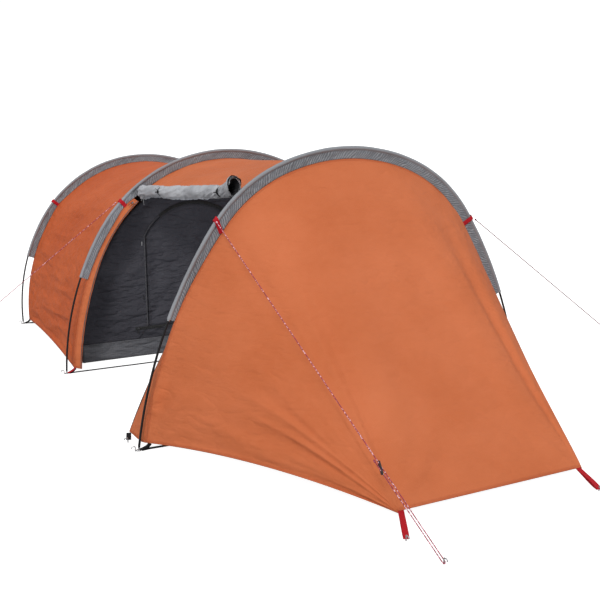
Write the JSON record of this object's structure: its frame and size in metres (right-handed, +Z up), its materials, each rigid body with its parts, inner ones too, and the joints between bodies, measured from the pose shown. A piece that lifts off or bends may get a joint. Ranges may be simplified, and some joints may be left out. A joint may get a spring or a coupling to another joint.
{
  "type": "tunnel tent",
  "caption": "Low three-hoop tunnel tent with a sloping nose, a side door rolled up under its roof, an inner tent and guy ropes.",
  "frame": {"origin": "on the ground, at the centre of the tent's footprint without its guy ropes", "axes": "+Z up, +Y from the nose to the rear wall, the side door faces -X"},
  "size_m": [3.201, 4.2205, 1.163],
  "materials": {
    "orange_fly": "coated ripstop polyester, satin",
    "grey_sleeve": "silver-grey ripstop polyester",
    "pole_black": "black glass-fibre rod",
    "steel": "zinc-plated steel",
    "elastic": "braided elastic",
    "red_webbing": "woven polyester webbing",
    "black_webbing": "woven polyester webbing",
    "charcoal_inner": "uncoated breathable polyester",
    "floor_grey": "coated groundsheet fabric",
    "zip_tape": "coil zip on woven tape",
    "zip_metal": "black painted zinc alloy",
    "black_plastic": "moulded black plastic",
    "guy_cord": "braided cord, red with pale flecks"
  },
  "bodies": {
    "tent": {"door_strip_tab": "black_webbing", "door_zip_front": "zip_tape", "door_zip_rear": "zip_tape", "ferrules_1": "steel", "ferrules_2": "steel", "ferrules_3": "steel", "fly_door_strip_front": "orange_fly", "fly_door_strip_rear": "orange_fly", "fly_nose": "orange_fly", "fly_rear_bay": "orange_fly", "fly_rear_wall": "orange_fly", "fly_roof_middle": "orange_fly", "foot_rings": "steel", "foot_tabs": "black_webbing", "ground_strap_1": "black_webbing", "ground_strap_2": "black_webbing", "ground_strap_3": "black_webbing", "guy_knots": "guy_cord", "guy_pegs": "steel", "guy_rope_front_left": "guy_cord", "guy_rope_front_right": "guy_cord", "guy_rope_middle_left": "guy_cord", "guy_tabs": "red_webbing", "inner_corner_straps": "black_webbing", "inner_door_zip": "zip_tape", "inner_floor": "floor_grey", "inner_front_wall": "charcoal_inner", "inner_hangers": "elastic", "inner_rear_wall": "charcoal_inner", "inner_walls": "charcoal_inner", "nose_peg_loops": "red_webbing", "pegs": "steel", "pole_pins": "steel", "pole_sections_1": "pole_black", "pole_sections_2": "pole_black", "pole_sections_3": "pole_black", "rear_peg_loops": "red_webbing", "roll_ties": "black_webbing", "rolled_door": "grey_sleeve", "shock_cord_1": "elastic", "shock_cord_2": "elastic", "shock_cord_3": "elastic", "sleeve_1": "grey_sleeve", "sleeve_2": "grey_sleeve", "sleeve_3": "grey_sleeve"},
    "door_slider_rear": {"door_slider_rear": "zip_metal"},
    "door_pull_rear": {"door_pull_rear": "zip_metal"},
    "door_slider_front": {"door_slider_front": "zip_metal"},
    "door_pull_front": {"door_pull_front": "zip_metal"},
    "inner_door": {"inner_door": "charcoal_inner"},
    "inner_slider": {"inner_slider": "zip_metal"},
    "inner_pull": {"inner_pull": "zip_metal"},
    "inner_toggle_upper": {"inner_toggle_upper": "black_plastic"},
    "inner_toggle_lower": {"inner_toggle_lower": "black_plastic"},
    "roll_toggle_front": {"roll_toggle_front": "black_plastic"},
    "roll_toggle_rear": {"roll_toggle_rear": "black_plastic"},
    "tensioner_front_left": {"tensioner_front_left": "black_plastic"},
    "tensioner_front_right": {"tensioner_front_right": "black_plastic"},
    "tensioner_middle_left": {"tensioner_middle_left": "black_plastic"}
  },
  "joints": [
    {"name": "door_slider_rear_travel", "type": "hinge", "parent": "tent", "child": "door_slider_rear", "pos_m": [-0.005, 0.3921, 0.26639], "axis": [0, -0.999, 0.0454], "range_deg": [0, 15]},
    {"name": "door_pull_rear_swing", "type": "hinge", "parent": "door_slider_rear", "child": "door_pull_rear", "pos_m": [-0.55856, 0.38515, 0.86302], "axis": [0, 0.999, -0.0454], "range_deg": [0, 90]},
    {"name": "door_slider_front_travel", "type": "hinge", "parent": "tent", "child": "door_slider_front", "pos_m": [-0.07562, -0.87, 0.48398], "axis": [0, -1, 0], "range_deg": [0, 11.5]},
    {"name": "door_pull_front_swing", "type": "hinge", "parent": "door_slider_front", "child": "door_pull_front", "pos_m": [-0.50154, -0.848, 0.93755], "axis": [0, 1, 0], "range_deg": [0, 90]},
    {"name": "inner_door_swing", "type": "hinge", "parent": "tent", "child": "inner_door", "pos_m": [-0.447, 0.53075, 0.5], "axis": [0, 0, -1], "range_deg": [0, 85]},
    {"name": "inner_slider_travel", "type": "slide", "parent": "tent", "child": "inner_slider", "axis": [1, 0, 0], "range_m": [0, 0.6]},
    {"name": "inner_pull_swing", "type": "hinge", "parent": "inner_slider", "child": "inner_pull", "pos_m": [-0.511, 0.5197, 0.159], "axis": [-1, 0, 0], "range_deg": [0, 90]},
    {"name": "inner_toggle_upper_turn", "type": "hinge", "parent": "tent", "child": "inner_toggle_upper", "pos_m": [-0.471, 0.525, 0.625], "axis": [0, 1, 0], "range_deg": [-75, 75]},
    {"name": "inner_toggle_lower_turn", "type": "hinge", "parent": "tent", "child": "inner_toggle_lower", "pos_m": [-0.471, 0.525, 0.33], "axis": [0, 1, 0], "range_deg": [-75, 75]},
    {"name": "roll_toggle_front_turn", "type": "hinge", "parent": "tent", "child": "roll_toggle_front", "pos_m": [-0.48084, -0.57774, 0.97078], "axis": [-0.9692, -0.0288, 0.2444], "range_deg": [-75, 75]},
    {"name": "roll_toggle_rear_turn", "type": "hinge", "parent": "tent", "child": "roll_toggle_rear", "pos_m": [-0.51198, 0.11308, 0.92861], "axis": [-0.9692, -0.0288, 0.2444], "range_deg": [-75, 75]},
    {"name": "tensioner_front_left_slide", "type": "slide", "parent": "tent", "child": "tensioner_front_left", "axis": [0.1048, -0.8234, -0.5577], "range_m": [0, 0.06]},
    {"name": "tensioner_front_right_slide", "type": "slide", "parent": "tent", "child": "tensioner_front_right", "axis": [0.7167, -0.2905, -0.634], "range_m": [0, 0.06]},
    {"name": "tensioner_middle_left_slide", "type": "slide", "parent": "tent", "child": "tensioner_middle_left", "axis": [-0.7109, 0.3066, -0.6329], "range_m": [0, 0.06]}
  ]
}
